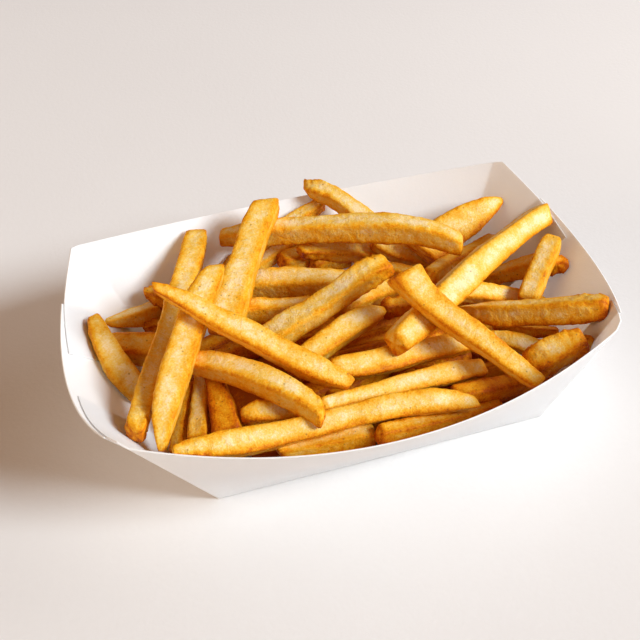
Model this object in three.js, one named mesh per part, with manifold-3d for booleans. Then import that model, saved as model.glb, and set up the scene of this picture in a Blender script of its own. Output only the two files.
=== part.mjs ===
// A paperboard food tray heaped with straight-cut fries.
// The tray is one die-cut blank: a flat base, two long panels, a wing at each end of each
// long panel folded round the corner, and an end panel glued outside each pair of wings.
// Millimetres, +Z up, X along the tray. The origin is the middle of the base's underside.
import * as THREE from 'three';
import { mergeVertices } from 'three/addons/utils/BufferGeometryUtils.js';
import Module from 'manifold-3d';

const wasm = await Module();
wasm.setup();

// Board and base
const BOARD = 0.5;
const BASE_LENGTH = 120;
const BASE_WIDTH = 77;

// The four corner creases end on a rectangle at the rim. A loaded tray gives a little: its rim
// stands slightly to one side of the base, and the far rim slightly ahead of the near one.
const RIM_LENGTH = 164;
const RIM_WIDTH = 107.5;
const RIM_HEIGHT = 48;
const RIM_SHIFT = -4.6;
const RIM_LEAD = 2.7;

// The panels bow outwards, and their top edges dip between the corners
const NEAR_BOW = 19;
const NEAR_DIP = 5.5;
const FAR_BOW = 17;
const FAR_DIP = 10;
const RIGHT_BOW = 12;
const RIGHT_DIP = 10;
const LEFT_BOW = 10;
const LEFT_DIP = 13.5;

// Past its crease a wing rises to a small point before it turns along the end
const POINT_OUT = 2.8;
const POINT_IN = 2.7;
const POINT_UP = 1.2;

// Wings and end panels, as fractions of the end wall from its far crease to its near one, and
// of its height. The wings stop short of each other, a little lower than the end panel's edge.
const WING_TOP = 0.4;
const WING_FOOT = 0.27;
const WING_DROP = 0.04;
const END_PANEL_FAR = 0.22;
const END_PANEL_NEAR = 0.1;
const END_PANEL_FOOT = 0.015;
const END_PANEL_RISE = 0.012;

// Fries
const FRY_SIDE = 8.8;

// The heap stands clear of the board, and its middle is a low dome
const CLEARANCE = 0.7;
const FLOOR_GAP = 0.3;
const CORE_LENGTH = 200;
const CORE_WIDTH = 150;
const CORE_DEPTH = 27;
const CORE_TOP = 38;

// Steps along the curved walls, and how far glued sheets are pressed into each other
const PANEL_STEPS = 24;
const END_STEPS = 20;
const GLUE = 0.12;

const FAR = 1;
const NEAR = -1;
const RIGHT = 1;
const LEFT = -1;

// ---- shapes as closed bodies -------------------------------------------------------------

function toSolid(geometry) {
  const bare = geometry.clone();
  bare.deleteAttribute('normal');
  bare.deleteAttribute('uv');
  const merged = mergeVertices(bare, 1e-5);
  return new wasm.Manifold(new wasm.Mesh({
    numProp: 3,
    vertProperties: new Float32Array(merged.attributes.position.array),
    triVerts: new Uint32Array(merged.index.array),
  }));
}

function toGeometry(solid) {
  const mesh = solid.getMesh();
  const geometry = new THREE.BufferGeometry();
  geometry.setAttribute('position', new THREE.BufferAttribute(new Float32Array(mesh.vertProperties), 3));
  geometry.setIndex(new THREE.BufferAttribute(new Uint32Array(mesh.triVerts), 1));
  geometry.computeVertexNormals();
  return geometry;
}

function geometryFrom(points, triangles) {
  const geometry = new THREE.BufferGeometry();
  geometry.setAttribute('position', new THREE.Float32BufferAttribute(points.flatMap((p) => p.toArray()), 3));
  geometry.setIndex(triangles);
  return geometry;
}

function steps(from, to, count) {
  return Array.from({ length: count + 1 }, (_, i) => from + ((to - from) * i) / count);
}

// A sheet of board on surface(u, v), from `inside` to `outside` along the surface's outward
// normal. `outward` is a rough outward direction that settles the normal's sign.
function sheet(surface, us, vs, inside, outside, outward) {
  const small = 1e-3;
  const normalAt = (u, v) => {
    const du = surface(u + small, v).sub(surface(u - small, v));
    const dv = surface(u, v + small).sub(surface(u, v - small));
    const normal = du.cross(dv).normalize();
    return normal.dot(outward) < 0 ? normal.negate() : normal;
  };
  const points = [];
  for (const offset of [inside, outside]) {
    for (const u of us) {
      for (const v of vs) points.push(surface(u, v).addScaledVector(normalAt(u, v), offset));
    }
  }
  const rows = vs.length;
  const layer = us.length * rows;
  const at = (side, i, j) => side * layer + i * rows + j;
  const triangles = [];
  const quad = (a, b, c, d) => triangles.push(a, b, c, a, c, d);
  for (let i = 0; i + 1 < us.length; i += 1) {
    for (let j = 0; j + 1 < rows; j += 1) {
      quad(at(0, i, j), at(0, i + 1, j), at(0, i + 1, j + 1), at(0, i, j + 1));
      quad(at(1, i, j + 1), at(1, i + 1, j + 1), at(1, i + 1, j), at(1, i, j));
    }
    quad(at(1, i, 0), at(1, i + 1, 0), at(0, i + 1, 0), at(0, i, 0));
    quad(at(0, i, rows - 1), at(0, i + 1, rows - 1), at(1, i + 1, rows - 1), at(1, i, rows - 1));
  }
  const last = us.length - 1;
  for (let j = 0; j + 1 < rows; j += 1) {
    quad(at(0, 0, j), at(0, 0, j + 1), at(1, 0, j + 1), at(1, 0, j));
    quad(at(1, last, j), at(1, last, j + 1), at(0, last, j + 1), at(0, last, j));
  }
  return outwardSolid(points, triangles);
}

// A closed body whichever way its triangles were first wound
function outwardSolid(points, triangles) {
  let volume = 0;
  for (let i = 0; i < triangles.length; i += 3) {
    const [a, b, c] = [points[triangles[i]], points[triangles[i + 1]], points[triangles[i + 2]]];
    volume += a.dot(b.clone().cross(c));
  }
  const wound = volume > 0 ? triangles : triangles.slice().reverse();
  return toSolid(geometryFrom(points, wound));
}

// The rounded fold where two sheets meet along a line
function fold(from, to, radius) {
  const length = from.distanceTo(to);
  const bead = new THREE.CylinderGeometry(radius, radius, length, 8);
  const along = to.clone().sub(from).normalize();
  bead.applyQuaternion(new THREE.Quaternion().setFromUnitVectors(new THREE.Vector3(0, 1, 0), along));
  const middle = from.clone().lerp(to, 0.5);
  bead.translate(middle.x, middle.y, middle.z);
  return toSolid(bead);
}

function block(length, width, height, x, y, z) {
  const geometry = new THREE.BoxGeometry(length, width, height);
  geometry.translate(x, y, z);
  return toSolid(geometry);
}

function unite(solids) {
  return solids.reduce((all, next) => all.add(next));
}

// The one outer skin of a body, with any slivers of air shut in between glued sheets filled
function outerSkin(solid) {
  return solid.decompose().reduce((most, next) => (next.volume() > most.volume() ? next : most));
}

// ---- the tray's surfaces -----------------------------------------------------------------

function baseCorner(endSide, longSide) {
  return new THREE.Vector3((endSide * BASE_LENGTH) / 2, (longSide * BASE_WIDTH) / 2, BOARD / 2);
}

function creaseTop(endSide, longSide) {
  return new THREE.Vector3(
    RIM_SHIFT + (endSide * RIM_LENGTH) / 2 + RIM_LEAD * longSide,
    (longSide * RIM_WIDTH) / 2,
    RIM_HEIGHT,
  );
}

function wingPoint(endSide, longSide) {
  const offset = new THREE.Vector3(endSide * POINT_OUT, -longSide * POINT_IN, POINT_UP);
  return creaseTop(endSide, longSide).add(offset);
}

// A point at t along an edge that bows out most at its middle
function bowedEdge(from, to, bow, t) {
  return from.clone().lerp(to, t).addScaledVector(bow, 4 * t * (1 - t));
}

// A long panel, u from its left crease to its right one, v from the base to the rim
function longPanelSurface(longSide) {
  const bow = longSide === NEAR
    ? new THREE.Vector3(0, -NEAR_BOW, -NEAR_DIP)
    : new THREE.Vector3(0, FAR_BOW, -FAR_DIP);
  return (u, v) => {
    const foot = baseCorner(LEFT, longSide).lerp(baseCorner(RIGHT, longSide), u);
    const rim = bowedEdge(creaseTop(LEFT, longSide), creaseTop(RIGHT, longSide), bow, u);
    return foot.lerp(rim, v);
  };
}

// Where the wing's small point falls along the end wall, as a fraction of its length
const POINT_AT = Math.hypot(POINT_OUT, POINT_IN, POINT_UP) / RIM_WIDTH;

// An end wall, u from its far crease to its near one
function endWallSurface(endSide) {
  const bow = endSide === RIGHT
    ? new THREE.Vector3(RIGHT_BOW, 0, -RIGHT_DIP)
    : new THREE.Vector3(-LEFT_BOW, 0, -LEFT_DIP);
  const farPoint = wingPoint(endSide, FAR);
  const nearPoint = wingPoint(endSide, NEAR);
  return (u, v) => {
    const foot = baseCorner(endSide, FAR).lerp(baseCorner(endSide, NEAR), u);
    let rim;
    if (u < POINT_AT) {
      rim = creaseTop(endSide, FAR).lerp(farPoint, u / POINT_AT);
    } else if (u > 1 - POINT_AT) {
      rim = creaseTop(endSide, NEAR).lerp(nearPoint, (1 - u) / POINT_AT);
    } else {
      rim = bowedEdge(farPoint, nearPoint, bow, (u - POINT_AT) / (1 - 2 * POINT_AT));
    }
    return foot.lerp(rim, v);
  };
}

// ---- the tray ----------------------------------------------------------------------------

function longPanel(longSide) {
  const outward = new THREE.Vector3(0, longSide, 0);
  return sheet(longPanelSurface(longSide), steps(0, 1, PANEL_STEPS), steps(0, 1, 3),
    -BOARD / 2, BOARD / 2, outward);
}

// A wing from its crease to its cut end, which leans from the foot to the top. Its top edge
// drops below the end panel's once the two overlap.
function wing(endSide, longSide) {
  const wall = endWallSurface(endSide);
  const overlap = longSide === FAR ? END_PANEL_FAR : END_PANEL_NEAR;
  const surface = (s, v) => {
    const reach = WING_FOOT + (WING_TOP - WING_FOOT) * v;
    const along = s * reach;
    const over = Math.max(0, (s * WING_TOP - overlap) / (WING_TOP - overlap));
    const height = v * (1 - WING_DROP * over);
    return wall(longSide === FAR ? along : 1 - along, height);
  };
  const pointStep = POINT_AT / WING_TOP;
  const us = [0, ...steps(pointStep, 1, END_STEPS / 2)];
  return sheet(surface, us, steps(0, 1, 3), -BOARD / 2, BOARD / 2, new THREE.Vector3(endSide, 0, 0));
}

function endPanel(endSide) {
  const wall = endWallSurface(endSide);
  const surface = (s, v) => {
    const far = END_PANEL_FOOT + (END_PANEL_FAR - END_PANEL_FOOT) * v;
    const near = END_PANEL_FOOT + (END_PANEL_NEAR - END_PANEL_FOOT) * v;
    return wall(far + (1 - near - far) * s, v * (1 + END_PANEL_RISE));
  };
  return sheet(surface, steps(0, 1, END_STEPS), steps(0, 1, 3),
    BOARD / 2 - GLUE, (3 * BOARD) / 2 - GLUE, new THREE.Vector3(endSide, 0, 0));
}

function buildTray() {
  const pieces = [block(BASE_LENGTH + 2 * BOARD, BASE_WIDTH, BOARD, 0, 0, BOARD / 2)];
  const crease = BOARD * 0.55;
  for (const longSide of [NEAR, FAR]) {
    pieces.push(longPanel(longSide));
    pieces.push(fold(baseCorner(LEFT, longSide), baseCorner(RIGHT, longSide), BOARD / 2));
  }
  for (const endSide of [LEFT, RIGHT]) {
    for (const longSide of [NEAR, FAR]) {
      pieces.push(wing(endSide, longSide));
      pieces.push(fold(baseCorner(endSide, longSide), creaseTop(endSide, longSide), crease));
    }
    pieces.push(endPanel(endSide));
  }
  const belowGround = block(3 * BASE_LENGTH, 3 * BASE_WIDTH, RIM_HEIGHT, 0, 0, -RIM_HEIGHT / 2);
  return outerSkin(unite(pieces).subtract(belowGround));
}

// ---- the heap of fries -------------------------------------------------------------------

// The inner outline of the tray at a fraction of its height, far side first, clockwise from above
function wallLoop(v) {
  const along = (surface, us) => us.map((u) => surface(u, v));
  return [
    ...along(longPanelSurface(FAR), steps(0, 1, PANEL_STEPS).slice(0, -1)),
    ...along(endWallSurface(RIGHT), [0, ...steps(POINT_AT, 1 - POINT_AT, END_STEPS)]),
    ...along(longPanelSurface(NEAR), steps(1, 0, PANEL_STEPS).slice(0, -1)),
    ...along(endWallSurface(LEFT), [1, ...steps(1 - POINT_AT, POINT_AT, END_STEPS)]),
  ];
}

// The room inside the tray, drawn in from its walls by the clearance and open above the rim
function buildInterior() {
  const drawIn = CLEARANCE + BOARD / 2;
  const narrow = (p, z) => new THREE.Vector3(
    p.x * (1 - drawIn / (BASE_LENGTH / 2)),
    p.y * (1 - drawIn / (BASE_WIDTH / 2)),
    z,
  );
  const floor = BOARD + FLOOR_GAP;
  const ceiling = 3 * RIM_HEIGHT;
  const loops = [
    wallLoop(0).map((p) => narrow(p, floor)),
    wallLoop(1).map((p) => narrow(p, p.z)),
    wallLoop(1).map((p) => narrow(p, ceiling)),
  ];
  const count = loops[0].length;
  const points = [...loops.flat(), new THREE.Vector3(0, 0, floor), new THREE.Vector3(0, 0, ceiling)];
  const [floorMiddle, ceilingMiddle] = [3 * count, 3 * count + 1];
  const triangles = [];
  for (let i = 0; i < count; i += 1) {
    const next = (i + 1) % count;
    for (const low of [0, count]) {
      const high = low + count;
      triangles.push(low + i, low + next, high + next, low + i, high + next, high + i);
    }
    triangles.push(floorMiddle, next, i, ceilingMiddle, 2 * count + i, 2 * count + next);
  }
  return outwardSolid(points, triangles);
}

// One straight-cut fry, its middle at (x, y, z), turned in plan and tipped up towards its far end
function fry({ x, y, z, length, turn, tip }) {
  const stick = new THREE.BoxGeometry(length, FRY_SIDE, FRY_SIDE);
  stick.rotateY(-THREE.MathUtils.degToRad(tip));
  stick.rotateZ(THREE.MathUtils.degToRad(turn));
  stick.translate(x, y, z);
  return toSolid(stick);
}

// The fries that give the heap its outline, as they happened to fall
const OUTER_FRIES = [
  // across the top, from back left to front right
  { x: 11, y: 36, z: 40, length: 92, turn: -20, tip: -2 },
  { x: -28, y: 30, z: 42, length: 58, turn: 56, tip: 19 },
  { x: -6, y: 0, z: 42, length: 57, turn: 24, tip: -2 },
  { x: -39, y: -15, z: 48, length: 76, turn: -44, tip: -12 },
  { x: 46, y: -6, z: 45, length: 106, turn: 37, tip: -6 },
  { x: 26, y: -43, z: 47, length: 56, turn: -48, tip: -20 },
  // left end
  { x: -63, y: 5, z: 40, length: 94, turn: 63, tip: 7 },
  { x: -61, y: -12, z: 43, length: 86, turn: 65, tip: 4 },
  { x: -83, y: 1, z: 38, length: 34, turn: -77, tip: -27 },
  { x: -64, y: 34, z: 28, length: 50, turn: 39, tip: -23 },
  { x: -53, y: 23, z: 33, length: 32, turn: -36, tip: -22 },
  // near side
  { x: -44, y: -32, z: 41, length: 56, turn: -58, tip: 5 },
  { x: -27, y: -53, z: 36, length: 98, turn: -18, tip: 10 },
  { x: 11, y: -26, z: 34, length: 58, turn: -4, tip: -2 },
  { x: 6, y: -39, z: 33, length: 64, turn: 4, tip: -5 },
  { x: 24, y: -51, z: 28, length: 70, turn: 11, tip: -8 },
  // right end
  { x: 58, y: -28, z: 40, length: 54, turn: -21, tip: 3 },
  { x: 53, y: -8, z: 35, length: 40, turn: -20, tip: 2 },
  { x: 73, y: -4, z: 38, length: 30, turn: 44, tip: 15 },
  { x: 74, y: 7, z: 30, length: 32, turn: -33, tip: 20 },
  { x: 59, y: -35, z: 28, length: 28, turn: 1, tip: 11 },
  // far side
  { x: -9, y: 33, z: 31, length: 44, turn: -26, tip: 11 },
  { x: 54, y: 36, z: 34, length: 52, turn: 14, tip: 8 },
  { x: 20, y: 55, z: 37, length: 38, turn: -23, tip: -34 },
  { x: -3, y: 56, z: 33, length: 36, turn: 25, tip: 4 },
];

// The rest of the heap is a low dome under them, as wide as the tray allows
function buildHeap() {
  const core = new THREE.SphereGeometry(1, 28, 14);
  core.scale(CORE_LENGTH / 2, CORE_WIDTH / 2, CORE_DEPTH);
  core.translate(0, 0, CORE_TOP - CORE_DEPTH);
  return outerSkin(unite([toSolid(core), ...OUTER_FRIES.map(fry)]).intersect(buildInterior()));
}

// ---- the finished part -------------------------------------------------------------------

function namedMesh(name, solid, material) {
  const mesh = new THREE.Mesh(toGeometry(solid), material);
  mesh.name = name;
  return mesh;
}

const board = new THREE.MeshStandardMaterial({ color: 0xf4efe9, roughness: 0.7, metalness: 0 });
const potato = new THREE.MeshStandardMaterial({ color: 0xe0a54c, roughness: 0.55, metalness: 0 });

const part = new THREE.Group();
part.add(namedMesh('tray', buildTray(), board));
part.add(namedMesh('fries', buildHeap(), potato));

export default part;
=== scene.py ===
"""A white paperboard food tray heaped with straight-cut fries, on a plain pale table."""

import math
import random

import bmesh
import bpy
import numpy as np
from mathutils import Matrix, Vector, noise


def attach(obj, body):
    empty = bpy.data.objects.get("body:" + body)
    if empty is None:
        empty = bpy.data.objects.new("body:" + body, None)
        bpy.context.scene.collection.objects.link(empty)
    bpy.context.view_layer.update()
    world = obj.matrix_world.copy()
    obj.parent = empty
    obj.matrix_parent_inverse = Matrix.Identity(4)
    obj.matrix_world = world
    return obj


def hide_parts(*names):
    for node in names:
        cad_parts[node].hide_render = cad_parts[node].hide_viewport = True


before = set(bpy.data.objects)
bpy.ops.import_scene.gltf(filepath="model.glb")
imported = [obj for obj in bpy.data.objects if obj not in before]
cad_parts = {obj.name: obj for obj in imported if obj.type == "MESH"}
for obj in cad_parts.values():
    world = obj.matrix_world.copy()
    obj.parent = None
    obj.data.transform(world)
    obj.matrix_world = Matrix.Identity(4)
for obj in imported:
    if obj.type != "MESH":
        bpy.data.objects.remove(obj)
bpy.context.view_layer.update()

# ---- The tray -------------------------------------------------------------------------------
# One die-cut blank of white paperboard: a flat base, two long panels, a wing at each end of each
# long panel folded round the corner, and an end panel glued up outside each pair of wings.
# Its sizes are in millimetres, as everything's are until a mesh is finished.

TO_METRES = 0.001
NEAR, FAR, LEFT, RIGHT = -1, 1, -1, 1
BOARD = 0.5
BASE_LENGTH, BASE_WIDTH = 120, 77
RIM_LENGTH, RIM_WIDTH, RIM_HEIGHT = 164, 107.5, 48

# The loaded tray gives a little: its rim stands to the left of its base, further on the near side
# than on the far side, and the middle of each wall's rim bows outwards and down.
RIM_SHIFT, RIM_LEAD = -4.6, 2.7
LONG_BOW = {NEAR: Vector((0, -19, -5.5)), FAR: Vector((0, 17, -10))}
END_BOW = {RIGHT: Vector((12, 0, -10)), LEFT: Vector((-10, 0, -13.5))}

# A wing's folded top corner is a small point, out past the crease. Shares of an end wall's width
# say how far its wings reach, at the rim and at the foot, and how far in its glued panel starts.
POINT_OUT, POINT_IN, POINT_UP = 2.8, 2.7, 1.2
POINT_AT = math.hypot(POINT_OUT, POINT_IN, POINT_UP) / RIM_WIDTH
WING_TOP, WING_FOOT, SHORT_WING = 0.4, 0.27, 0.5
WING_DROP, WING_LIFT = 0.04, 0.03
PANEL_IN = {FAR: 0.22, NEAR: 0.1}
PANEL_FOOT, PANEL_RISE, PANEL_GAP = 0.015, 0.012, 0.03

LONG_STEPS, WING_STEPS, END_STEPS, WALL_STEPS = 44, 16, 26, 14
BASE_ROWS = END_STEPS + 2
CREASE_WIDTH, CREASE_ANGLE, CREASE_STEPS = 0.7, 18, 3
CUT_EDGE_WIDTH, CUT_EDGE_ANGLE = 0.08, 50
MERGE_WITHIN = 0.01


def bow(t):
    """The shape of a bowed edge along its length: 0 at its ends and 1 at its middle."""
    return 4 * t * (1 - t)


def base_corner(end, side):
    return Vector((end * BASE_LENGTH / 2, side * BASE_WIDTH / 2, BOARD / 2))


def crease_top(end, side):
    x = RIM_SHIFT + end * RIM_LENGTH / 2 + side * RIM_LEAD
    return Vector((x, side * RIM_WIDTH / 2, RIM_HEIGHT))


def wing_point(end, side):
    return crease_top(end, side) + Vector((end * POINT_OUT, -side * POINT_IN, POINT_UP))


def long_wall(side, u, v):
    """A point of a long panel, u from its left crease to its right one, v from base to rim."""
    foot = base_corner(LEFT, side).lerp(base_corner(RIGHT, side), u)
    rim = crease_top(LEFT, side).lerp(crease_top(RIGHT, side), u) + LONG_BOW[side] * bow(u)
    return foot.lerp(rim, v)


def end_wall(end, u, v):
    """A point of an end wall, u from its far crease to its near one, v from base to rim."""
    foot = base_corner(end, FAR).lerp(base_corner(end, NEAR), u)
    if u < POINT_AT:
        rim = crease_top(end, FAR).lerp(wing_point(end, FAR), u / POINT_AT)
    elif u > 1 - POINT_AT:
        rim = crease_top(end, NEAR).lerp(wing_point(end, NEAR), (1 - u) / POINT_AT)
    else:
        t = (u - POINT_AT) / (1 - 2 * POINT_AT)
        rim = wing_point(end, FAR).lerp(wing_point(end, NEAR), t) + END_BOW[end] * bow(t)
    return foot.lerp(rim, v)


def lay_sheet(bm, columns, rows, place):
    """A grid of board, each of its points put where place(u, v) says."""
    grid = bmesh.ops.create_grid(bm, x_segments=columns, y_segments=rows, size=0.5)
    for vert in grid["verts"]:
        vert.co = place(vert.co.x + 0.5, vert.co.y + 0.5)


def base_place(u, v):
    """A point of the base. Its inner rows meet the columns of the end panels' feet."""
    row = round(v * BASE_ROWS)
    inner = PANEL_FOOT + (1 - 2 * PANEL_FOOT) * (row - 1) / END_STEPS
    across = inner if 0 < row < BASE_ROWS else v
    return Vector(((u - 0.5) * BASE_LENGTH, (across - 0.5) * BASE_WIDTH, BOARD / 2))


def wing_place(end, side, u, v):
    """A point of a wing, u from its crease to its free edge. Its foot is just off the base, and
    it slopes down a little where the end panel covers it."""
    column = u * WING_STEPS
    reach = WING_FOOT + (WING_TOP - WING_FOOT) * v
    if (end, side) == (RIGHT, NEAR):
        reach *= SHORT_WING
    along = POINT_AT * min(1, column) + (reach - POINT_AT) * max(0, column - 1) / (WING_STEPS - 1)
    under = max(0, (along - PANEL_IN[side]) / (WING_TOP - PANEL_IN[side]))
    lift = WING_LIFT * min(1, column)
    height = (lift + (1 - lift) * v) * (1 - WING_DROP * under)
    return end_wall(end, along if side == FAR else 1 - along, height)


def end_panel_place(end, u, v):
    """A point of a glued end panel, which lies outside its wings from its first step up."""
    far = PANEL_FOOT + (PANEL_IN[FAR] - PANEL_FOOT) * v
    near = PANEL_FOOT + (PANEL_IN[NEAR] - PANEL_FOOT) * v
    along, height, small = far + (1 - near - far) * u, v * (1 + PANEL_RISE), 1e-3
    across = end_wall(end, along + small, height) - end_wall(end, along - small, height)
    upward = end_wall(end, along, height + small) - end_wall(end, along, height - small)
    outward = across.cross(upward).normalized()
    if outward.x * end < 0:
        outward.negate()
    return end_wall(end, along, height) + outward * (BOARD + PANEL_GAP) * min(1, v * WALL_STEPS)


tray_bm = bmesh.new()
lay_sheet(tray_bm, LONG_STEPS, BASE_ROWS, base_place)
for side in (NEAR, FAR):
    lay_sheet(tray_bm, LONG_STEPS, WALL_STEPS, lambda u, v: long_wall(side, u, v))
for end in (LEFT, RIGHT):
    for side in (NEAR, FAR):
        lay_sheet(tray_bm, WING_STEPS, WALL_STEPS, lambda u, v: wing_place(end, side, u, v))
    lay_sheet(tray_bm, END_STEPS, WALL_STEPS, lambda u, v: end_panel_place(end, u, v))
bmesh.ops.remove_doubles(tray_bm, verts=tray_bm.verts, dist=MERGE_WITHIN)
bmesh.ops.recalc_face_normals(tray_bm, faces=tray_bm.faces)
creases = [
    edge for edge in tray_bm.edges
    if len(edge.link_faces) == 2 and edge.calc_face_angle() > math.radians(CREASE_ANGLE)
]
bmesh.ops.bevel(
    tray_bm, geom=creases, offset=CREASE_WIDTH, affect="EDGES", segments=CREASE_STEPS,
    profile=0.5, material=-1
)
bmesh.ops.scale(tray_bm, vec=(TO_METRES,) * 3, verts=tray_bm.verts)


class Wire:
    """A number that runs through a material. Its operators add Math nodes."""

    def __init__(self, finish, socket):
        self.finish, self.socket = finish, socket

    def math(self, operation, *values):
        return self.finish.node("ShaderNodeMath", {"operation": operation}, dict(enumerate(values)))

    def __add__(self, other):
        return self.math("ADD", self, other)

    def __sub__(self, other):
        return self.math("SUBTRACT", self, other)

    def __rsub__(self, other):
        return self.math("SUBTRACT", other, self)

    def __mul__(self, other):
        return self.math("MULTIPLY", self, other)

    __radd__, __rmul__ = __add__, __mul__

    def clamped(self):
        return self.math("MINIMUM", self.math("MAXIMUM", self, 0), 1)

    def stepped(self, low, high):
        """0 below low and 1 above high, smooth between them."""
        return self.finish.node(
            "ShaderNodeMapRange", {"interpolation_type": "SMOOTHSTEP"},
            {"Value": self, "From Min": low, "From Max": high})

    def sibling(self, output):
        """Another output of the node that this one comes from."""
        return Wire(self.finish, self.socket.node.outputs[output])


class Finish:
    """A material under construction."""

    def __init__(self, name):
        self.material = bpy.data.materials.new(name)
        self.material.use_nodes = True
        self.tree = self.material.node_tree
        self.tree.nodes.clear()

    def node(self, kind, settings, sockets, output=0):
        """A new node with its settings, then its sockets' values or links. Gives one output."""
        made = self.tree.nodes.new(kind)
        for key, value in settings.items():
            if key == "stops":
                ramp = made.color_ramp.elements
                while len(ramp) < len(value):
                    ramp.new(0.5)
                for stop, (position, colour) in zip(ramp, value):
                    stop.position, stop.color = position, (*colour, 1)
            else:
                setattr(made, key, value)
        for key, value in sockets.items():
            if isinstance(value, Wire):
                self.tree.links.new(value.socket, made.inputs[key])
            else:
                made.inputs[key].default_value = value
        return Wire(self, made.outputs[output])

    def at(self):
        """Where on the piece a point is, in metres."""
        return self.node("ShaderNodeTexCoord", {}, {}, output="Object")

    def attribute(self, name):
        return self.node("ShaderNodeAttribute", {"attribute_name": name}, {}, output="Fac")

    def noise(self, at, scale, detail, roughness=0.5):
        values = {"Vector": at, "Scale": scale, "Detail": detail, "Roughness": roughness}
        return self.node("ShaderNodeTexNoise", {"noise_dimensions": "3D"}, values)

    def bump(self, height, strength, distance):
        values = {"Strength": strength, "Distance": distance, "Height": height}
        return self.node("ShaderNodeBump", {}, values)

    def mixed(self, share, first, second):
        """A colour between two. A colour Mix node's sockets go by number."""
        factor, colour_a, colour_b, result = 0, 6, 7, 2
        values = {factor: share, colour_a: first, colour_b: second}
        return self.node("ShaderNodeMix", {"data_type": "RGBA"}, values, output=result)

    def done(self, **sockets):
        """The material, its shader's sockets set by name."""
        named = {key.replace("_", " "): value for key, value in sockets.items()}
        shader = self.node("ShaderNodeBsdfPrincipled", {}, named)
        output = self.tree.nodes.new("ShaderNodeOutputMaterial")
        self.tree.links.new(shader.socket, output.inputs["Surface"])
        return self.material


WHITE, WARM_WHITE = (0.90, 0.90, 0.90, 1), (0.86, 0.85, 0.84, 1)
board = Finish("white_paperboard")
board_at = board.at()
clouds = board.noise(board_at, scale=45, detail=3.0)
fibres = board.noise(board_at, scale=1100, detail=4.0, roughness=0.6)
board_shade = (clouds * 0.5 + fibres * 0.4 - 0.2).clamped()
board_material = board.done(
    Base_Color=board.mixed(board_shade, WHITE, WARM_WHITE),
    Roughness=0.62 + fibres * 0.15,
    Normal=board.bump(fibres, strength=0.25, distance=0.0002),
    Subsurface_Weight=0.4,
    Subsurface_Radius=(0.004, 0.0038, 0.0035),
    Subsurface_Scale=1.0,
)


def finish_piece(name, bm, material, node):
    """The piece of one bmesh, riding on the part and standing for a CAD node."""
    mesh = bpy.data.meshes.new(name)
    bm.to_mesh(mesh)
    bm.free()
    mesh.materials.append(material)
    mesh.shade_smooth()
    piece = bpy.data.objects.new(name, mesh)
    bpy.context.scene.collection.objects.link(piece)
    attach(piece, "root")
    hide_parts(node)
    return piece


tray = finish_piece("tray_board", tray_bm, board_material, "tray")
solid = tray.modifiers.new("thickness", "SOLIDIFY")
solid.thickness, solid.offset = BOARD * TO_METRES, 0
solid.use_even_offset = solid.use_quality_normals = True
cut_edges = tray.modifiers.new("cut_edges", "BEVEL")
cut_edges.width, cut_edges.segments = CUT_EDGE_WIDTH * TO_METRES, 2
cut_edges.limit_method, cut_edges.angle_limit = "ANGLE", math.radians(CUT_EDGE_ANGLE)
cut_edges.harden_normals = True

# ---- The view -------------------------------------------------------------------------------
# The camera stands to the left of the tray's middle and looks down on it with a long lens. It
# comes before the fries because each visible one is laid out by where its edges are seen. The
# view is 640 pixels square, its focal length is in those pixels, and lengths are in millimetres.

AZIMUTH, ELEVATION, ROLL = (math.radians(a) for a in (-18.7, 39.3, -0.6))
VIEW_SIDE, FOCAL, SENSOR = 640, 1288.5, 36.0
LOOK_AT, DISTANCE = np.array((3.12, 39.78, 0.0)), 505.6

behind = np.array(
    (
        math.sin(AZIMUTH) * math.cos(ELEVATION),
        -math.cos(AZIMUTH) * math.cos(ELEVATION),
        math.sin(ELEVATION),
    )
)
level = np.array((math.cos(AZIMUTH), math.sin(AZIMUTH), 0.0))
upright = np.cross(behind, level)
to_right = level * math.cos(ROLL) + upright * math.sin(ROLL)
to_top = upright * math.cos(ROLL) - level * math.sin(ROLL)
eye = LOOK_AT + behind * DISTANCE

camera_data = bpy.data.cameras.new("camera")
camera_data.sensor_width, camera_data.lens = SENSOR, FOCAL * SENSOR / VIEW_SIDE
camera_data.clip_start, camera_data.clip_end = 0.02, 20
camera = bpy.data.objects.new("camera", camera_data)
bpy.context.scene.collection.objects.link(camera)
turned = np.eye(4)
turned[:3] = np.stack((to_right, to_top, behind, eye * TO_METRES), axis=1)
camera.matrix_world = Matrix(turned.tolist())
bpy.context.scene.camera = camera


def rays(pixels):
    """Unit directions from the eye through points of the view."""
    x = (pixels[..., 0:1] - VIEW_SIDE / 2) / FOCAL
    y = (VIEW_SIDE / 2 - pixels[..., 1:2]) / FOCAL
    found = -behind + to_right * x + to_top * y
    return found / np.linalg.norm(found, axis=-1, keepdims=True)


def at_height(ray, height):
    """Distance from the eye along a ray at which it passes a height."""
    return (height - eye[2]) / ray[..., 2]


# ---- The fries ------------------------------------------------------------------------------
# Potato cut into sticks about 9 mm square and fried: pale blistered faces, browner edges and
# ends, some with rough skin. They lie as they fell, the last ones across the others.

# A fry follows a line of points and has the section of a rounded square.
SAMPLES, SMOOTHINGS = 15, 2
SHARE = np.linspace(0, 1, SAMPLES)
SQUARENESS, LARGEST_HALF = 6.0, 4.9

# The visible ones lie on a dome, which falls by these shares at its length and its width.
DOME_TOP, DOME_MIDDLE_Y = 28, -2
DOME_LENGTH, DOME_WIDTH = 85, 52
DOME_FALL_LONG, DOME_FALL_WIDE = 0.5, 0.45

# A gap to a wall is measured level and then multiplied for the wall's slope. A wall leans and
# bows at once, so the place on it is found in a few rounds. Skin is kept clear of a wall up to a
# narrow band over its rim.
LONG_SLOPE, END_SLOPE = 0.93, 0.85
WALL_ROUNDS, PRESSING_ROUNDS = 4, 2
WALL_CLEARANCE, RIM_BAND = 0.5, 1.0


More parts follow.
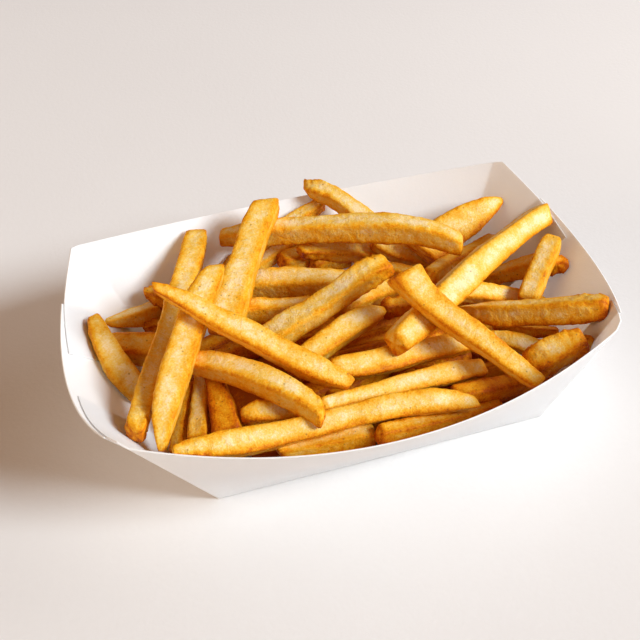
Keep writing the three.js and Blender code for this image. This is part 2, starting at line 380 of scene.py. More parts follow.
def dome(x, y):
    """Height of the fries that lie out of sight, on which the visible ones rest."""
    long_way, wide_way = x / DOME_LENGTH, (y - DOME_MIDDLE_Y) / DOME_WIDTH
    return DOME_TOP * (1 - DOME_FALL_LONG * long_way**2 - DOME_FALL_WIDE * wide_way**2)


def along_line(at, run, values):
    """Values of a fry's line, or of one of its edges, at other places along it."""
    return np.stack([np.interp(at, run, column) for column in values.T], -1)


def run_of(points):
    """How far along a line of points each one is."""
    return np.concatenate(([0], np.cumsum(np.linalg.norm(np.diff(points, axis=0), axis=1))))


def unit(vectors):
    return vectors / np.linalg.norm(vectors, axis=1, keepdims=True)


def resampled(points):
    points = np.array(points, float)
    run = run_of(points)
    line = along_line(np.linspace(0, run[-1], SAMPLES), run, points)
    for _ in range(SMOOTHINGS):
        line[1:-1] = (line[:-2] + 2 * line[1:-1] + line[2:]) / 4
    return line


def span_of_square(turn):
    """Half-width of a rounded square of half-size 1, seen turned by an angle."""
    m = SQUARENESS / (SQUARENESS - 1)
    return (math.cos(turn) ** m + math.sin(turn) ** m) ** (1 / m)


class Fry:
    """One fry, from its left and right edges in the view, as seen from its start. lit is the
    share of its width that its left face takes, rough says how blistered its two ends are,
    brown darkens it all over, partly for its own browner tone and partly as painted shade
    where it lies in shadow, and one that is over_rim may lie on the rim."""

    def __init__(self, left, right, lit, rough=(0, 0), brown=0.0, over_rim=False):
        self.turn = math.atan2(1 - lit, lit)
        self.rough, self.brown, self.over_rim = rough, brown, over_rim
        left, right = resampled(left), resampled(right)
        self.seen = (left + right) / 2
        way = unit(np.gradient(self.seen, axis=0))
        gap = left - right
        self.shear_seen = (gap * way).sum(1) / 2
        self.half_seen = np.abs(gap[:, 0] * way[:, 1] - gap[:, 1] * way[:, 0]) / 2
        self.ray = rays(self.seen)

    def place(self, start_height, end_height):
        """Points along the fry with its ends at these heights, for arrays of heights."""
        start = at_height(self.ray[0], start_height)[..., None]
        end = at_height(self.ray[-1], end_height)[..., None]
        far = 1 / ((1 - SHARE) / start + SHARE / end)
        return eye + self.ray * far[..., None], far

    def settle(self, start_height, end_height):
        points, far = self.place(np.array([start_height]), np.array([end_height]))
        self.points, self.far = points[0], far[0]
        self.toward = -self.ray
        scale = self.far * (self.ray @ -behind) / FOCAL
        self.half = self.half_seen * scale
        self.size = np.minimum(self.half / span_of_square(self.turn), LARGEST_HALF)
        self.shear = self.shear_seen * run_of(self.points)[-1] / run_of(self.seen)[-1]


def wall_gaps(points):
    """For each of the four walls: how far points are inside it, its inward direction, and how
    far they are above its rim."""
    x, y, z = points[..., 0], points[..., 1], points[..., 2]
    for side in (NEAR, FAR):
        u = np.clip((x + BASE_LENGTH / 2) / BASE_LENGTH, 0, 1)
        for _ in range(WALL_ROUNDS):
            top = RIM_HEIGHT + LONG_BOW[side].z * bow(u)
            v = np.clip(z / top, 0, 1)
            low = (1 - v) * -BASE_LENGTH / 2 + v * crease_top(LEFT, side).x
            high = (1 - v) * BASE_LENGTH / 2 + v * crease_top(RIGHT, side).x
            u = np.clip((x - low) / (high - low), 0, 1)
        rim = side * RIM_WIDTH / 2 + LONG_BOW[side].y * bow(u)
        wall = (1 - v) * side * BASE_WIDTH / 2 + v * rim
        yield (side * wall - side * y) * LONG_SLOPE, (0, -side, 0), z - top
    for end in (LEFT, RIGHT):
        u = np.clip(0.5 - y / BASE_WIDTH, 0, 1)
        far_top, near_top = wing_point(end, FAR), wing_point(end, NEAR)
        for _ in range(WALL_ROUNDS):
            top = far_top.z + END_BOW[end].z * bow(u)
            v = np.clip(z / top, 0, 1)
            high = (1 - v) * BASE_WIDTH / 2 + v * far_top.y
            low = (1 - v) * -BASE_WIDTH / 2 + v * near_top.y
            u = np.clip((y - high) / (low - high), 0, 1)
        rim = far_top.x + (near_top.x - far_top.x) * u + END_BOW[end].x * bow(u)
        wall = (1 - v) * end * BASE_LENGTH / 2 + v * rim
        yield (end * wall - end * x) * END_SLOPE, (-end, 0, 0), z - top


def wall_room(points, radius, over_rim):
    """How far fries of this radius stay inside the tray's walls and floor. Less than nought is
    through them. A fry that may lie over the rim is free above it."""
    room = points[..., 2] - BOARD - radius
    for gap, _, above in wall_gaps(points):
        gap = gap - radius
        clear = np.where(over_rim & (above > 0), np.maximum(gap, above - radius), gap)
        room = np.minimum(room, clear)
    return room


def pressed_in(points):
    """Points of a fry's skin, those beyond a wall or the floor brought back to it."""
    points = points.copy()
    for _ in range(PRESSING_ROUNDS):
        for gap, inward, above in wall_gaps(points):
            short = np.where(above < RIM_BAND, np.maximum(WALL_CLEARANCE - gap, 0), 0)
            points += short[:, None] * np.array(inward)
    points[:, 2] = np.maximum(points[:, 2], BOARD + WALL_CLEARANCE)
    return points


# How a fry comes to rest. Pressing into another costs little up to TOUCH and a lot past it, and
# so do a slope steeper than STEEPEST and a length over LONGEST. Two fries cross where their
# lines are within CROSSING pixels of each other in the view, and there the later one lies nearer.
SOFT_WALL, SOFT_DOME, TOUCH = 0.5, 3, 0.25
STEEPEST, LONGEST, CROSSING, NEARER = 0.45, 112, 9, 0.3
PRESSING_COST, TOUCHING_COST, STEEPNESS_COST, LENGTH_COST = 60, 4, 20, 2
TIP_THICKNESS, NEXT_THICKNESS = 0.35, 0.8
FIRST_HEIGHT = 40.0
SEARCHES = ((36, 3.0), (3, 1.0), (1, 0.33))


def lowest_rest(fry, fallen):
    """Lets a fry down along its line of sight until it rests on the fries under it."""
    blunt = np.ones(SAMPLES)
    blunt[[0, -1]], blunt[[1, -2]] = TIP_THICKNESS, NEXT_THICKNESS

    def cost(start_height, end_height):
        points, far = fry.place(start_height, end_height)
        radius = fry.half_seen * far.mean() / FOCAL / span_of_square(fry.turn)
        radius = np.minimum(radius, LARGEST_HALF)
        room = wall_room(points, radius * blunt, fry.over_rim)
        through = np.maximum(-room - SOFT_WALL, 0).max(1)
        sunk = dome(points[..., 0], points[..., 1]) + radius - points[..., 2]
        through = through + np.maximum(sunk, 0).mean(1) + np.maximum(sunk - SOFT_DOME, 0).max(1)
        for other in fallen:
            needed = radius[:, None] + other.size[None, :]
            apart = np.linalg.norm(points[:, :, None] - other.points, axis=-1)
            crossing = np.linalg.norm(fry.seen[:, None] - other.seen, axis=-1) < CROSSING
            depth = far[:, :, None] - other.far
            hidden = np.where(crossing & (depth > -NEARER * needed), depth + needed, 0)
            through = through + np.maximum(needed - apart, hidden).clip(0).max((1, 2))
        length = np.linalg.norm(points[:, -1] - points[:, 0], axis=1)
        slope = np.abs(start_height - end_height) / length
        return (
            (start_height + end_height) / 2
            + PRESSING_COST * np.maximum(through - TOUCH, 0)
            + TOUCHING_COST * through
            + STEEPNESS_COST * np.maximum(slope - STEEPEST, 0)
            + LENGTH_COST * np.maximum(length - LONGEST, 0)
        )

    start_height = end_height = FIRST_HEIGHT
    for reach, step in SEARCHES:
        offsets = np.arange(-reach, reach + step / 2, step)
        tried = [h.ravel() for h in np.meshgrid(start_height + offsets, end_height + offsets)]
        best = np.argmin(cost(*tried))
        start_height, end_height = tried[0][best], tried[1][best]
    return start_height, end_height


# In the order in which they fell, each with the points of its two edges in the view. An upright
# fry runs from its lower end to its upper one.
LEFT_END = {
    "dark_under_left": Fry(
        [(108, 333), (130, 331), (150, 332), (170, 335)],
        [(118, 360), (135, 366), (155, 368), (170, 368)], 0.6, brown=0.35),
    "low_at_back_left": Fry(
        [(103, 319), (125, 311), (150, 301), (165, 296), (185, 290)],
        [(107, 328), (127, 328), (145, 327), (165, 322), (190, 312)], 0.35, brown=0.1),
    "leaning_on_left_wall": Fry(
        [(133, 405), (110, 385), (93, 352), (88, 335), (87, 320)],
        [(150, 388), (141, 373), (123, 350), (109, 330), (99, 313)], 0.15, (0, 0.3), 0.1),
    "rough_knob": Fry(
        [(144, 323), (155, 318), (168, 319)],
        [(146, 334), (156, 335), (168, 335)], 0.5, (1, 0.5), 0.2),
    "lobed_tip": Fry(
        [(143, 288), (155, 285), (175, 296), (200, 312)],
        [(145, 297), (155, 305), (175, 318), (195, 330)], 0.5, (0.9, 0), 0.3),
}
# Fries that lie in shadow here are given darker brown values as painted shade: steep_under_near_a and
# steep_under_near_b, under_near_rim_right and shaded_right.
UNDER_NEAR = {
    "steep_under_near_a": Fry(
        [(187, 442), (189, 415), (193, 390), (196, 365)],
        [(212, 445), (211, 420), (211, 395), (212, 370)], 0.75, brown=0.15),
    "steep_under_near_b": Fry(
        [(213, 445), (210, 412), (205, 382), (199, 360)],
        [(246, 436), (238, 408), (227, 384), (219, 362)], 0.85, brown=0.75),
    "beside_near_wall": Fry(
        [(168, 453), (172, 430), (177, 402), (183, 383)],
        [(188, 456), (189, 430), (192, 404), (198, 385)], 0.6, brown=0.45),
    "rough_tip_near": Fry(
        [(240, 408), (250, 400), (275, 399), (300, 402), (325, 403)],
        [(242, 422), (258, 427), (290, 424), (330, 418)], 0.75, (0.6, 0)),
    "under_near_rim": Fry(
        [(270, 442), (300, 438), (340, 428), (358, 422), (374, 425)],
        [(285, 462), (320, 458), (350, 452), (376, 448)], 0.5, brown=0.1),
    "under_near_rim_right": Fry(
        [(378, 424), (410, 417), (450, 410), (500, 398)],
        [(378, 446), (410, 440), (450, 430), (500, 415)], 0.5, brown=0.6),
    "shaded_right": Fry(
        [(450, 385), (490, 378), (530, 372), (550, 368)],
        [(460, 408), (500, 402), (535, 394), (550, 390)], 0.5, brown=0.75),
}
RIGHT_LOW = {
    "pale_short_right": Fry(
        [(478, 332), (500, 330), (525, 334), (545, 342)],
        [(500, 345), (515, 352), (530, 358), (545, 360)], 0.8),
    "under_blistered_right": Fry(
        [(490, 318), (530, 324), (558, 326)],
        [(495, 333), (530, 339), (558, 338)], 0.3, brown=0.4),
    "down_right_wall": Fry(
        [(566, 362), (574, 348), (584, 333)],
        [(582, 366), (589, 354), (597, 342)], 0.4, brown=0.25),
    "skin_side_right": Fry(
        [(519, 353), (543, 339), (564, 331), (580, 328)],
        [(538, 382), (558, 371), (575, 361), (590, 346)], 0.7, (1, 1), 0.1),
}
FAR_LOW = {
    "strip_in_middle": Fry(
        [(245, 298), (270, 298), (300, 297), (320, 296)],
        [(240, 326), (260, 324), (285, 320), (310, 318)], 0.4, brown=0.1),
    "behind_broad_upright": Fry(
        [(218, 290), (222, 266), (229, 254)],
        [(243, 292), (246, 270), (246, 256)], 0.5, brown=0.1),
    "far_a": Fry(
        [(248, 262), (264, 249), (285, 238), (300, 230)],
        [(258, 276), (275, 264), (292, 252), (305, 244)], 0.6),
    "far_end_on": Fry(
        [(279, 252), (295, 246), (310, 236)],
        [(283, 272), (311, 268), (318, 256)], 0.5, (0.4, 0), 0.05),
    "far_whitish_end": Fry(
        [(311, 258), (325, 253), (345, 250)],
        [(312, 272), (330, 271), (352, 268)], 0.5, (0.8, 0), 0.1),
    "far_speckled_end": Fry(
        [(255, 235), (285, 217), (305, 204), (321, 196)],
        [(262, 255), (290, 236), (310, 222), (326, 209)], 0.6, (0, 0.5)),
    "far_b": Fry(
        [(296, 246), (320, 240), (345, 239), (376, 243)],
        [(303, 259), (320, 260), (345, 263), (377, 264)], 0.6, (0.5, 0)),
    "behind_oblique_end": Fry(
        [(368, 262), (390, 261), (412, 266), (432, 276)],
        [(368, 277), (390, 279), (412, 285), (430, 292)], 0.5, brown=0.25),
    "rough_dark_end": Fry(
        [(381, 300), (400, 296), (440, 290), (470, 288)],
        [(383, 318), (400, 316), (440, 310), (470, 305)], 0.5, (1, 0), 0.2),
    "pale_corner": Fry(
        [(330, 305), (350, 292), (375, 282), (395, 278)],
        [(345, 324), (365, 312), (385, 303), (402, 298)], 0.6),
    "middle_left": Fry(
        [(235, 272), (262, 268), (295, 267), (330, 268), (350, 270)],
        [(235, 301), (262, 301), (290, 300), (320, 298), (350, 292)], 0.5),
    "middle_pale": Fry(
        [(285, 358), (300, 347), (325, 327), (350, 309), (370, 305), (384, 307)],
        [(313, 369), (327, 358), (355, 340), (378, 325), (386, 314)], 0.8),
    "far_c": Fry(
        [(410, 240), (440, 244), (462, 248)],
        [(424, 262), (440, 260), (458, 258)], 0.6),
    "far_striped": Fry(
        [(425, 268), (445, 255), (470, 243), (490, 232)],
        [(432, 290), (455, 275), (480, 262), (500, 250)], 0.4, brown=0.3),
    "far_pale_end": Fry(
        [(372, 230), (395, 240), (415, 246), (436, 256)],
        [(370, 250), (390, 262), (408, 267), (432, 272)], 0.7),
}
RIGHT_END = {
    "rough_right": Fry(
        [(480, 275), (505, 262), (535, 253), (556, 254), (568, 260)],
        [(485, 288), (510, 281), (540, 277), (560, 274), (570, 268)], 0.4, (0.4, 0.8), 0.0),
    "pale_right": Fry(
        [(445, 285), (475, 281), (500, 284), (530, 292), (545, 296)],
        [(450, 302), (475, 303), (510, 308), (545, 314)], 0.7),
}
FAR_SIDE = {
    "leaf_cut": Fry(
        [(405, 240), (437, 218), (463, 203), (485, 197), (501, 198)],
        [(435, 266), (450, 254), (465, 243), (480, 231), (497, 212), (503, 202)], 0.97),
    "over_far_rim": Fry(
        [(304, 181), (315, 177), (335, 185), (355, 199), (372, 212), (390, 226)],
        [(307, 195), (314, 201), (328, 205), (340, 214), (352, 228), (365, 242)], 0.6, (0.7, 0),
        over_rim=True),
}
NEAR_SIDE = {
    "near_pale": Fry(
        [(327, 359), (365, 350), (405, 343), (445, 334), (480, 328)],
        [(335, 380), (356, 381), (390, 374), (430, 362), (475, 352), (490, 348)], 0.85),
    "near_round_end": Fry(
        [(318, 397), (345, 390), (372, 384), (410, 371), (450, 360), (480, 359)],
        [(322, 414), (352, 408), (380, 401), (420, 391), (460, 383), (487, 376)], 0.88),
    "long_along_near_rim": Fry(
        [(171, 447), (177, 441), (184, 437), (192, 434), (220, 430), (260, 424), (290, 420), (330, 410),
         (360, 400), (400, 391), (440, 384), (456, 385), (474, 396)],
        [(174, 457), (200, 461), (240, 458), (285, 448), (320, 438), (355, 428), (390, 419),
         (430, 415), (460, 412), (482, 408)], 0.9, (0.8, 0)),
    # Its brown value is painted shade, for the shadow of long_diagonal across it.
    "bent_near": Fry(
        [(190, 351), (200, 349), (235, 354), (268, 365), (300, 380), (318, 392), (325, 403)],
        [(188, 374), (205, 379), (220, 381), (245, 392), (275, 405), (305, 418), (321, 429)],
        0.58, (0, 0.3), 0.22),
}
RIGHT_TOP = {
    "short_upright_right": Fry(
        [(515, 299), (530, 263), (538, 245), (545, 234)],
        [(539, 303), (549, 278), (556, 262), (563, 243)], 0.8, brown=0.05),
    "blistered_right": Fry(
        [(457, 306), (480, 302), (540, 299), (585, 294), (608, 295)],
        [(457, 309), (470, 319), (487, 326), (510, 327), (540, 325), (580, 326), (610, 318)],
        0.25, (0, 0.9)),
}
ACROSS_TOP = {
    "long_to_right_wall": Fry(
        [(386, 334), (400, 318), (415, 303), (432, 288), (445, 276), (465, 256), (490, 237),
         (520, 215), (541, 203)],
        [(404, 355), (413, 350), (430, 335), (443, 320), (457, 306), (475, 290), (498, 265),
         (520, 246), (549, 226)], 0.14),
    "middle_blistered": Fry(
        [(255, 330), (268, 320), (310, 297), (343, 273), (360, 259), (376, 253), (384, 256)],
        [(283, 350), (295, 342), (325, 322), (354, 301), (376, 288), (390, 279), (395, 271)],
        0.6, (0, 1)),
    "long_at_back": Fry(
        [(220, 229), (229, 225), (240, 223), (270, 219), (300, 216), (330, 215), (360, 213),
         (390, 212), (410, 214), (430, 218), (450, 225), (463, 234)],
        [(220, 247), (229, 250), (245, 248), (265, 246), (300, 244), (340, 242), (380, 244),
         (410, 244), (440, 248), (462, 257)], 0.42),
    "broad_upright": Fry(
        [(203, 325), (212, 302), (224, 270), (232, 252), (240, 227), (250, 204)],
        [(242, 335), (247, 315), (255, 285), (262, 262), (268, 240), (277, 220), (283, 204)], 0.8),
    "tall_left": Fry(
        [(125, 430), (131, 400), (141, 372), (151, 345), (159, 325), (163, 300), (172, 278),
         (177, 260), (182, 243), (186, 235)],
        [(144, 440), (152, 415), (160, 390), (170, 360), (182, 325), (193, 295), (203, 268),
         (210, 252), (211, 242), (208, 235)], 0.85, (0.6, 0.2), 0.05),
    "pointed_pale": Fry(
        [(157, 450), (153, 437), (150, 420), (151, 402), (160, 368), (172, 330), (181, 311),
         (187, 288), (204, 268)],
        [(165, 451), (178, 420), (187, 390), (196, 360), (207, 328), (216, 305), (226, 266)], 0.88),
    "long_diagonal": Fry(
        [(151, 281), (158, 279), (165, 281), (186, 289), (214, 305), (246, 316), (276, 334),
         (310, 350), (340, 366), (356, 379)],
        [(154, 293), (163, 299), (180, 310), (206, 328), (235, 343), (265, 358), (295, 376),
         (325, 389), (347, 390)], 0.78, (0.2, 0)),
    "oblique_end": Fry(
        [(421, 262), (428, 275), (434, 287), (460, 308), (487, 328), (515, 351), (542, 371),
         (547, 378)],
        [(385, 281), (395, 292), (420, 314), (450, 338), (480, 354), (505, 374), (532, 391)], 0.76),
}

AS_THEY_FELL = (
    LEFT_END, UNDER_NEAR, RIGHT_LOW, FAR_LOW, RIGHT_END, FAR_SIDE, NEAR_SIDE, RIGHT_TOP, ACROSS_TOP
)
fallen = []
for group in AS_THEY_FELL:
    for fry in group.values():
        fry.settle(*lowest_rest(fry, fallen))
        fallen.append(fry)


# A fry's mesh is rings of points. The first few close an end: how far each is from the tip, and
# its share of the full thickness. HOLLOW is how far the faces sink between the edges, and GATHER
# draws the points of a ring towards the edges.
AROUND, RING_GAP = 40, 0.8
AROUND_HIDDEN, RING_GAP_HIDDEN = 16, 2.6
FEWEST_RINGS = 12
END_RINGS = ((0, 0), (0, 0.45), (0.06, 0.8), (0.35, 0.95), (1.1, 1.0))
LAST = len(END_RINGS) - 1
BLUNTNESS = (1.0, 3.4)
HOLLOW, EDGE_POWER, GATHER = (0.02, 0.06), 5, 0.12

# Its skin swells in lumps and blisters, each of them coarse and fine, with more blisters towards
# a rough end. Their sizes are in lumps to the millimetre.
LUMP_SIZES, LUMP_HEIGHTS = (0.09, 0.28), (0.55, 0.2)
BLISTER_SIZES, BLISTER_HEIGHTS, BLISTERED = (0.55, 1.3), (0.5, 0.16), 0.15
LUMPY, BLISTERY, ROUGH_BLISTERY = 0.9, 0.5, 2.8
ROUGH_REACH, SPREAD, SEED_STEP = 14, 50, 13.7

# It is browner where it is rough and at its ends, and painted shade darkens it where it faces
# sideways or down. Its finish reads three values of each point: how near an edge it is, how
# brown and painted-shaded, and the whole fry's tone.
ROUGH_BROWN, END_BROWN, UNDER_PAINTED_SHADE = 0.5, 0.3, 0.5
END_BROWN_FADE, END_EDGE = 1.5, 2.5
FACES_UP, FACES_UP_FADE = 0.65, 0.75
LAYER_NAMES = ("edge", "brown", "tone")
SEEDS_APART = 31


def end_rings(length, rings, rng):
    """How far along a fry each ring lies, and its share of the full thickness."""
    numbers = np.arange(rings + 1)
    kinds = np.minimum(np.minimum(numbers, rings - numbers), LAST)
    inset, full = np.array(END_RINGS)[kinds].T
    inset[: LAST + 1] *= rng.uniform(*BLUNTNESS)
    inset[-LAST - 1 :] *= rng.uniform(*BLUNTNESS)
    at_ring = np.where(numbers * 2 < rings, inset, length - inset)
    at_ring[LAST : rings + 1 - LAST] = np.linspace(
        inset[LAST], length - inset[-LAST - 1], rings + 1 - 2 * LAST)
    return at_ring, full


def skin(points, spot):
    """The height of the lumps and of the blisters at each point, from the fry's own spot in the
    noise."""
    lumps, blisters = np.empty(len(points)), np.empty(len(points))
    for i, p in enumerate(points.tolist()):
        p = Vector(p) + spot
        coarse, fine = (noise.noise(p * size) for size in LUMP_SIZES)
        lumps[i] = coarse * LUMP_HEIGHTS[0] + fine * LUMP_HEIGHTS[1]
        coarse, fine = (noise.noise(p * size) for size in BLISTER_SIZES)
        blisters[i] = max(0, coarse + BLISTERED) * BLISTER_HEIGHTS[0] + fine * BLISTER_HEIGHTS[1]
    return lumps, blisters


def shape_fry(bm, fry, seed, around, ring_gap):
    """Adds one fry: a stick whose rounded square section follows its line, with hollow faces,
    an uneven skin and rough ends."""
    run = run_of(fry.points)
    length = run[-1]
    rings = max(FEWEST_RINGS, round(length / ring_gap)) + 2 * LAST
    verts = bmesh.ops.create_uvsphere(bm, u_segments=around, v_segments=rings, radius=1)["verts"]
    ball = np.array([v.co for v in verts])
    ring = np.rint(np.arccos(np.clip(ball[:, 2], -1, 1)) / math.pi * rings).astype(int)
    angle = np.arctan2(ball[:, 1], ball[:, 0])
    angle = angle + GATHER * np.sin(4 * angle)
    rng = random.Random(seed)
    at_ring, full = end_rings(length, rings, rng)
    at, radial = at_ring[ring], full[ring]

    ways = unit(np.gradient(fry.points, axis=0))
    lefts = unit(np.cross(fry.toward, ways))
    centre, way, left = (along_line(at, run, values) for values in (fry.points, ways, lefts))
    front = np.cross(way, left)
    size, half, shear = (np.interp(at, run, values) for values in (fry.size, fry.half, fry.shear))

    c, s = np.cos(angle), np.sin(angle)
    square = (np.abs(c) ** SQUARENESS + np.abs(s) ** SQUARENESS) ** (-1 / SQUARENESS)
    edge = np.abs(np.sin(2 * angle)) ** EDGE_POWER
    near_end = np.minimum(at, length - at)
    rough_at = [0, ROUGH_REACH, length - ROUGH_REACH, length]
    rough = np.interp(at, rough_at, [fry.rough[0], 0, 0, fry.rough[1]])
    reach = square * radial * (1 - rng.uniform(*HOLLOW) * (1 - edge))
    spot = Vector((rng.uniform(-SPREAD, SPREAD), rng.uniform(-SPREAD, SPREAD), seed * SEED_STEP))
    plain = centre + (left * c[:, None] + front * s[:, None]) * (size * square)[:, None]
    lumps, blisters = skin(plain, spot)
    swelling = lumps * LUMPY + blisters * (BLISTERY + ROUGH_BLISTERY * rough)
    reach = reach + swelling / size * radial

    x, y = reach * c * size, reach * s * size
    to_left = x * math.sin(fry.turn) - y * math.cos(fry.turn)
    to_front = x * math.cos(fry.turn) + y * math.sin(fry.turn)
    to_left = to_left * half / (size * span_of_square(fry.turn))
    lean = shear * to_left / np.maximum(half, 0.5)
    placed = centre + left * to_left[:, None] + front * to_front[:, None]
    placed = pressed_in(placed + way * lean[:, None])

    outwards = placed - centre
    facing_up = outwards[:, 2] / np.maximum(np.linalg.norm(outwards, axis=1), 0.1)
    end_edge = np.clip(1 - near_end / END_EDGE, 0, 1) * np.clip(radial * 2 - 1, 0, 1)
    # Browning at rough places and ends, plus painted shade where the skin faces sideways or down; the
    # fry's own value may hold painted shade too.
    browned_and_shaded = (
        fry.brown
        + ROUGH_BROWN * rough
        + END_BROWN * np.exp(-near_end / END_BROWN_FADE)
        + UNDER_PAINTED_SHADE * np.clip((FACES_UP - facing_up) / FACES_UP_FADE, 0, 1)
    )
    tone = rng.uniform(0, 1)
    edge_layer, brown_and_shade_layer, tone_layer = (bm.verts.layers.float[name] for name in LAYER_NAMES)
    for v, p, e, b in zip(verts, placed.tolist(), np.maximum(edge, end_edge), browned_and_shaded):
        v.co = p
        v[edge_layer], v[brown_and_shade_layer], v[tone_layer] = e, b, tone


potato = Finish("fried_potato")
potato_at = potato.at()
edge_in, brown_and_shade_in, tone_in = (potato.attribute(name) for name in LAYER_NAMES)
patches = potato.noise(potato_at, scale=130, detail=2.0)
mottle = potato.noise(potato_at, scale=420, detail=3.0, roughness=0.6)
grain = potato.noise(potato_at, scale=1500, detail=2.0, roughness=0.6)
# The brown value darkens the colour: real browning, and painted shade on down-facing sides, on fries
# that lie in shadow and on those out of sight in the heap.
pale = (
    0.86 + (tone_in - 0.5) * 0.16 + (patches - 0.5) * 0.7 + (mottle - 0.5) * 0.6
    + (grain - 0.5) * 0.6 - edge_in * 0.36 - brown_and_shade_in * 0.5
)
BROWN_TO_PALE = (
    (0.0, (0.45, 0.09, 0.002)),
    (0.25, (0.71, 0.215, 0.002)),
    (0.5, (0.87, 0.405, 0.013)),
    (0.75, (0.89, 0.56, 0.105)),
    (1.0, (0.94, 0.73, 0.40)),
)
fried = potato.node("ShaderNodeValToRGB", {"stops": BROWN_TO_PALE}, {"Fac": pale.clamped()})

# Small dark specks, one in a few of the cells of a fine pattern, and in more where it is brown
# or darkened by painted shade.
SPECK, SPECK_STRENGTH = (0.25, 0.09, 0.02, 1), 0.55
dots = potato.node(
    "ShaderNodeTexVoronoi", {"feature": "F1", "voronoi_dimensions": "3D"},
    {"Vector": potato_at, "Scale": 420})
chance = potato.node("ShaderNodeSeparateColor", {}, {"Color": dots.sibling("Color")})
speck_mask = (1 - dots.stepped(0.08, 0.19)) * (chance + brown_and_shade_in * 0.7).stepped(0.78, 0.82)
potato_material = potato.done(
    Base_Color=potato.mixed(speck_mask * SPECK_STRENGTH, fried, SPECK),
    Roughness=0.42 + mottle * 0.22,
    Specular_IOR_Level=0.12,
    Normal=potato.bump(mottle * 0.9 + grain * 0.4, strength=0.8, distance=0.0007),
    Subsurface_Weight=0.1,
    Subsurface_Radius=(0.002, 0.0008, 0.0002),
    Subsurface_Scale=1.0,
)


def heap_mesh():
    bm = bmesh.new()
    for name in LAYER_NAMES:
        bm.verts.layers.float.new(name)
    return bm


def finish_heap_piece(name, bm):
    bmesh.ops.recalc_face_normals(bm, faces=bm.faces)
    bmesh.ops.scale(bm, vec=(TO_METRES,) * 3, verts=bm.verts)
    finish_piece(name, bm, potato_material, "fries")


def heap_piece(name, fries, around=AROUND, ring_gap=RING_GAP):
    """A piece of the heap, some of its fries in one mesh."""
    bm = heap_mesh()
    for number, fry in enumerate(fries):
        shape_fry(bm, fry, len(name) * SEEDS_APART + number, around, ring_gap)
    finish_heap_piece(name, bm)


PIECES = {
    "fries_left_end": (LEFT_END,),
    "fries_near_side": (UNDER_NEAR, NEAR_SIDE),
    "fries_far_side": (FAR_LOW, FAR_SIDE),
    "fries_right_end": (RIGHT_LOW, RIGHT_END, RIGHT_TOP),
    "fries_across_top": (ACROSS_TOP,),
}
for name, groups in PIECES.items():
    heap_piece(name, [fry for group in groups for fry in group.values()])

# ---- The fries out of sight -----------------------------------------------------------------
# The rest of the portion: three layers of the same fries lie under the visible ones, over a low
# mound that stands for the imported middle of the heap.

# Each layer's depth under the dome, the bearing in degrees that its fries lie around, and how
# dark they are: deeper layers are painted darker, as painted shade for the gaps in the heap. In a
# layer they start from the places of a grid.
LAYERS = ((9.5, 20, 0.8), (15.5, -35, 1.1), (21.0, 10, 1.3))
ROWS, ROW_GAP, ROW_SCATTER = range(-6, 7), 8.6, 3
COLUMNS, COLUMN_GAP, COLUMN_SCATTER = (-1.6, -0.8, 0, 0.8, 1.6), 44, 9
BEARING_SCATTER, HALF_LENGTHS = 25, (14, 26)
THICKNESSES, LARGEST_TURN, HIDDEN_ROUGH = (7.2, 8.6), 0.6, (0.2, 0.2)
LOWEST_END, ROOM_LEFT, HIDDEN_SEED = 5.5, 0.3, 11

# One gap in the heap is dark to the bottom, so no fry lies near the line of sight into it.
DARK_GAP, GAP_WIDTH = rays(np.array((238.0, 396.0))), 8.5


class HiddenFry:
    """A fry out of sight in the heap, from its ends."""

    def __init__(self, start, end, thickness, turn, brown):
        self.points = np.linspace(start, end, SAMPLES)
        self.toward = np.tile((0.0, 0.0, 1.0), (SAMPLES, 1))
        self.turn, self.rough, self.brown = turn, HIDDEN_ROUGH, brown
        self.size = np.full(SAMPLES, thickness / 2)
        self.half = self.size * span_of_square(turn)
        self.shear = np.zeros(SAMPLES)

    def fits(self):
        """Whether it is inside the tray and clear of the dark gap."""
        off_gap = np.linalg.norm(np.cross(self.points - eye, DARK_GAP), axis=1).min()
        return wall_room(self.points, self.half, False).min() > ROOM_LEFT and off_gap > GAP_WIDTH


rng = random.Random(HIDDEN_SEED)
hidden = []
for depth, bearing, brown in LAYERS:
    for row in ROWS:
        for column in COLUMNS:
            x = column * COLUMN_GAP + rng.uniform(-COLUMN_SCATTER, COLUMN_SCATTER)
            y = row * ROW_GAP + rng.uniform(-ROW_SCATTER, ROW_SCATTER)
            heading = math.radians(bearing + rng.uniform(-BEARING_SCATTER, BEARING_SCATTER))
            half_length = rng.uniform(*HALF_LENGTHS)
            ends = []
            for way in (-half_length, half_length):
                end_x, end_y = x + way * math.cos(heading), y + way * math.sin(heading)
                ends.append(np.array((end_x, end_y, max(LOWEST_END, dome(end_x, end_y) - depth))))
            thickness = rng.uniform(*THICKNESSES)
            fry = HiddenFry(*ends, thickness, rng.uniform(0, LARGEST_TURN), brown)
            if fry.fits():
                hidden.append(fry)
heap_piece("fries_beneath", hidden, AROUND_HIDDEN, RING_GAP_HIDDEN)

# The mound is painted very dark, as painted shade for the bottom of the gaps in the heap.
MOUND_LENGTH, MOUND_WIDTH, MOUND_HEIGHT, MOUND_PAINTED_SHADE = 96, 58, 12, 1.7
MOUND_OFF_BASE = 0.3
mound = heap_mesh()
bmesh.ops.create_uvsphere(mound, u_segments=48, v_segments=24, radius=1)
for vert in mound.verts:
    vert.co.z = max(vert.co.z, 0)
    vert[mound.verts.layers.float["brown"]] = MOUND_PAINTED_SHADE
bmesh.ops.remove_doubles(mound, verts=mound.verts, dist=1e-5)
mound_size = (MOUND_LENGTH / 2, MOUND_WIDTH / 2, MOUND_HEIGHT)
bmesh.ops.scale(mound, vec=mound_size, verts=mound.verts)
bmesh.ops.translate(mound, vec=(0, 0, BOARD + MOUND_OFF_BASE), verts=mound.verts)
finish_heap_piece("heap_mound", mound)

# ---- The table and the light ----------------------------------------------------------------
# A plain pale table. The main light is a big soft lamp in front and to the right, like a window;
# a weak one on the right and a warm card low on the left fill in, and the room glows warmly.

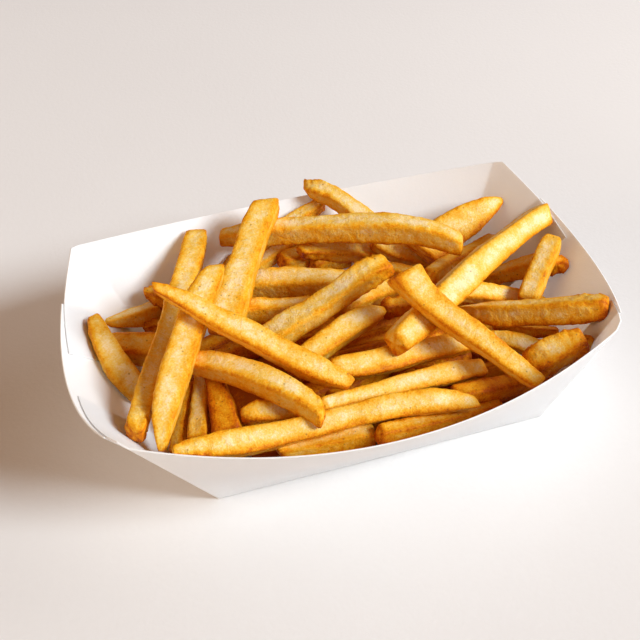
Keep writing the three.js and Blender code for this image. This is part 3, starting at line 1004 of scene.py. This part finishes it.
TABLE_HALF = 3
PALE, PALE_SHADE = (0.82, 0.80, 0.79, 1), (0.77, 0.745, 0.735, 1)
table_bm = bmesh.new()
bmesh.ops.create_grid(table_bm, x_segments=2, y_segments=2, size=TABLE_HALF)
table = bpy.data.objects.new("table", bpy.data.meshes.new("table"))
table_bm.to_mesh(table.data)
table_bm.free()
tabletop = Finish("pale_table")
tabletop_at = tabletop.at()
table_clouds = tabletop.noise(tabletop_at, scale=7, detail=4.0)
table_grain = tabletop.noise(tabletop_at, scale=500, detail=3.0, roughness=0.6)
table_shade = (table_clouds * 0.8 + table_grain * 0.3 - 0.05).clamped()
table_material = tabletop.done(
    Base_Color=tabletop.mixed(table_shade, PALE, PALE_SHADE),
    Roughness=0.8,
    Normal=tabletop.bump(table_grain, strength=0.2, distance=0.0005),
)
table.data.materials.append(table_material)
bpy.context.scene.collection.objects.link(table)


def soft_lamp(name, azimuth, elevation, distance, size, watts, colour):
    """A round lamp that faces the tray. Its azimuth is from the front towards the right."""
    data = bpy.data.lights.new(name, "AREA")
    data.shape, data.size, data.energy, data.color = "DISK", size, watts, colour
    lamp = bpy.data.objects.new(name, data)
    a, e = math.radians(azimuth), math.radians(elevation)
    away = Vector((math.sin(a) * math.cos(e), -math.cos(a) * math.cos(e), math.sin(e)))
    lamp.location = away * distance
    lamp.rotation_mode = "QUATERNION"
    lamp.rotation_quaternion = away.to_track_quat("Z", "Y")
    bpy.context.scene.collection.objects.link(lamp)


soft_lamp(
    "window", azimuth=48, elevation=35, distance=9.0, size=3.6, watts=1015, colour=(0.84, 0.94, 1.0))
soft_lamp(
    "right_side", azimuth=100, elevation=35, distance=0.7, size=0.5, watts=1.2,
    colour=(1.0, 0.98, 0.96))
soft_lamp(
    "left_card", azimuth=-80, elevation=14, distance=1.2, size=1.0, watts=7.0,
    colour=(1.0, 0.80, 0.60))
ROOM_COLOUR, ROOM_STRENGTH = (1.0, 0.53, 0.28, 1), 0.22
world = bpy.data.worlds.new("room")
world.use_nodes = True
room = world.node_tree.nodes["Background"].inputs
room["Color"].default_value, room["Strength"].default_value = ROOM_COLOUR, ROOM_STRENGTH
bpy.context.scene.world = world
bpy.context.scene.view_settings.view_transform = "Standard"
